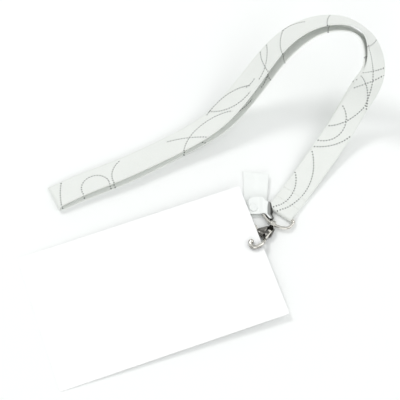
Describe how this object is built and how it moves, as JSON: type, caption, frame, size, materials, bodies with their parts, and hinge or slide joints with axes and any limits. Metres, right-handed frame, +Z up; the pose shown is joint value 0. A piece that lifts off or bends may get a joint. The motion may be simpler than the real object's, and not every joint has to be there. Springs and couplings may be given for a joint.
{
  "type": "neck lanyard",
  "caption": "Flat ribbon neck lanyard laid out on a table, with a D-ring, swivel hook, snap tab and a blank event pass.",
  "frame": {"origin": "on the table, under the middle of the whole layout", "axes": "+Z up off the table, +X to the right of the layout, +Y to its far side"},
  "size_m": [0.2654, 0.2646, 0.0786],
  "materials": {
    "ribbon": "woven satin ribbon",
    "thread": "sewing thread",
    "nickel": "polished nickel plate",
    "pin_steel": "drawn wire",
    "card": "laminated card",
    "strip": "soft vinyl",
    "snap_metal": "white lacquer"
  },
  "bodies": {
    "strap": {"neck_strap": "ribbon", "end_stitching": "thread"},
    "ring": {"d_ring": "nickel"},
    "eye": {"swivel_eye": "nickel"},
    "hook": {"hook_body": "nickel", "lever_pin": "pin_steel", "lever_spring": "pin_steel"},
    "lever": {"trigger_lever": "nickel"},
    "pass": {"pass_card": "card"},
    "tab": {"snap_tab": "strip", "snap_cap": "snap_metal", "snap_socket": "pin_steel", "snap_stud": "pin_steel", "snap_eyelet": "snap_metal"}
  },
  "joints": [
    {"name": "ring_swing", "type": "hinge", "parent": "strap", "child": "ring", "pos_m": [0.05634, 0.00172, 0.00205], "axis": [-0.809, 0.5878, 0], "range_deg": [-15, 80]},
    {"name": "eye_swing", "type": "hinge", "parent": "ring", "child": "eye", "pos_m": [0.05069, -0.00794, 0.0031], "axis": [-0.8289, 0.5593, 0.0033], "range_deg": [-8, 40]},
    {"name": "hook_swivel", "type": "hinge", "parent": "eye", "child": "hook", "pos_m": [0.05069, -0.00794, 0.0031], "axis": [0.454, 0.891, 0], "range_deg": [0, 180]},
    {"name": "lever_press", "type": "hinge", "parent": "hook", "child": "lever", "pos_m": [0.04067, -0.0144, 0.0031], "axis": [0, 0, 1], "range_deg": [0, 22], "stiffness_Nm_per_rad": 0.02},
    {"name": "pass_swing", "type": "hinge", "parent": "hook", "child": "pass", "pos_m": [0.03452, -0.02264, 0.00464], "axis": [-0.0247, -0.0086, 0.9997], "range_deg": [-8, 8]},
    {"name": "tab_swing", "type": "hinge", "parent": "ring", "child": "tab", "pos_m": [0.045, 0.0005, 0.0028], "axis": [0, 1, 0], "range_deg": [-5, 0]}
  ]
}
